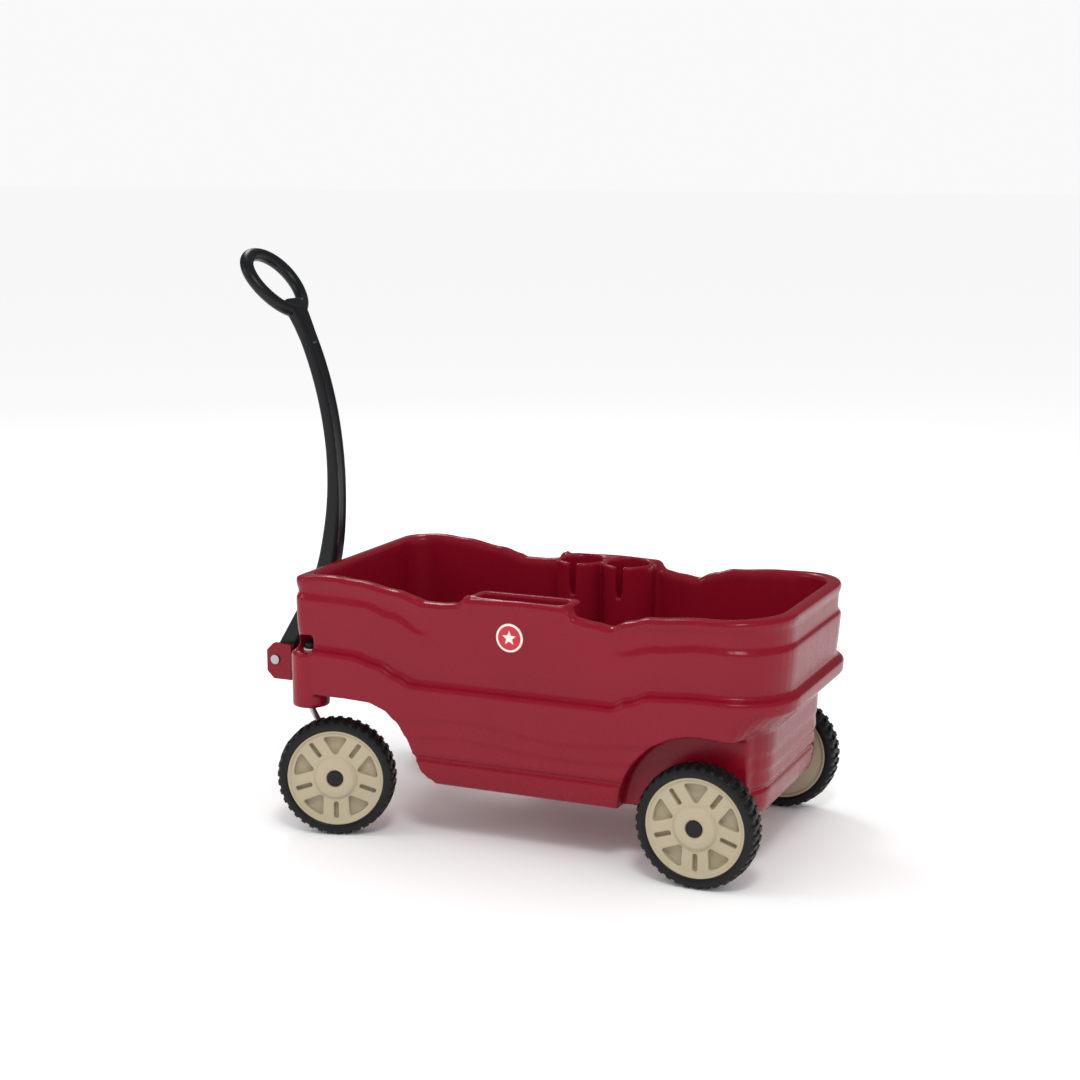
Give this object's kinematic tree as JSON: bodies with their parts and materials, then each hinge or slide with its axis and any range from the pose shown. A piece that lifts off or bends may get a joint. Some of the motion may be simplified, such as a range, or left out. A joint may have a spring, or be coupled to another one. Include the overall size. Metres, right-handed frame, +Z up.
{
  "type": "wagon with pull handle",
  "caption": "Moulded child's pull wagon with two facing seats, a footwell, cup holders, a tray, swivelling front casters and a bowed pull handle.",
  "frame": {"origin": "on the floor under the middle of the bounding box", "axes": "+X forward towards the pull handle, +Y to the wagon's left, +Z up"},
  "size_m": [1.1111, 0.5828, 1.0111],
  "materials": {
    "tub_plastic": "satin moulded",
    "tyre_rubber": "matte",
    "wheel_plastic": "satin",
    "black_plastic": "satin",
    "nylon": "matte",
    "bracket_metal": "satin paint",
    "badge_plastic": "gloss",
    "steel": "zinc plated"
  },
  "bodies": {
    "tub": {"tub": "tub_plastic", "rear_axle": "steel", "left_axle_bush": "nylon", "right_axle_bush": "nylon", "left_axle_spacer": "nylon", "right_axle_spacer": "nylon", "rear_left_axle_washer": "steel", "rear_right_axle_washer": "steel", "left_upper_bush": "nylon", "right_upper_bush": "nylon", "left_lower_bush": "nylon", "right_lower_bush": "nylon", "hitch_bracket": "bracket_metal", "hitch_bolt": "steel", "handle_pin": "steel", "handle_pin_nut": "steel", "left_badge": "badge_plastic", "right_badge": "badge_plastic"},
    "handle": {"pull_handle": "black_plastic"},
    "left_caster": {"left_caster_rod": "steel", "left_caster_spacer": "nylon", "front_left_axle_washer": "steel", "left_kingpin_nut": "black_plastic", "left_kingpin_collar": "black_plastic"},
    "right_caster": {"right_caster_rod": "steel", "right_caster_spacer": "nylon", "front_right_axle_washer": "steel", "right_kingpin_nut": "black_plastic", "right_kingpin_collar": "black_plastic"},
    "front_left_wheel": {"front_left_wheel": "wheel_plastic", "front_left_tyre": "tyre_rubber", "front_left_hub_cap": "black_plastic"},
    "front_right_wheel": {"front_right_wheel": "wheel_plastic", "front_right_tyre": "tyre_rubber", "front_right_hub_cap": "black_plastic"},
    "rear_left_wheel": {"rear_left_wheel": "wheel_plastic", "rear_left_tyre": "tyre_rubber", "rear_left_hub_cap": "black_plastic"},
    "rear_right_wheel": {"rear_right_wheel": "wheel_plastic", "rear_right_tyre": "tyre_rubber", "rear_right_hub_cap": "black_plastic"}
  },
  "joints": [
    {"name": "handle_lift", "type": "hinge", "parent": "tub", "child": "handle", "pos_m": [0.506, 0, 0.243], "axis": [0, 1, 0], "range_deg": [0, 102]},
    {"name": "left_caster_swivel", "type": "hinge", "parent": "tub", "child": "left_caster", "pos_m": [0.325, 0.203, 0.3], "axis": [0, 0, 1], "continuous": true},
    {"name": "right_caster_swivel", "type": "hinge", "parent": "tub", "child": "right_caster", "pos_m": [0.325, -0.203, 0.3], "axis": [0, 0, 1], "continuous": true},
    {"name": "front_left_spin", "type": "hinge", "parent": "left_caster", "child": "front_left_wheel", "pos_m": [0.25757, 0.23577, 0.105], "axis": [-0.309, 0.9511, 0], "continuous": true},
    {"name": "front_right_spin", "type": "hinge", "parent": "right_caster", "child": "front_right_wheel", "pos_m": [0.27673, -0.26036, 0.105], "axis": [-0.1045, 0.9945, 0], "continuous": true},
    {"name": "rear_left_spin", "type": "hinge", "parent": "tub", "child": "rear_left_wheel", "pos_m": [-0.419, 0.2335, 0.105], "axis": [0, 1, 0], "continuous": true},
    {"name": "rear_right_spin", "type": "hinge", "parent": "tub", "child": "rear_right_wheel", "pos_m": [-0.419, -0.2335, 0.105], "axis": [0, 1, 0], "continuous": true}
  ]
}
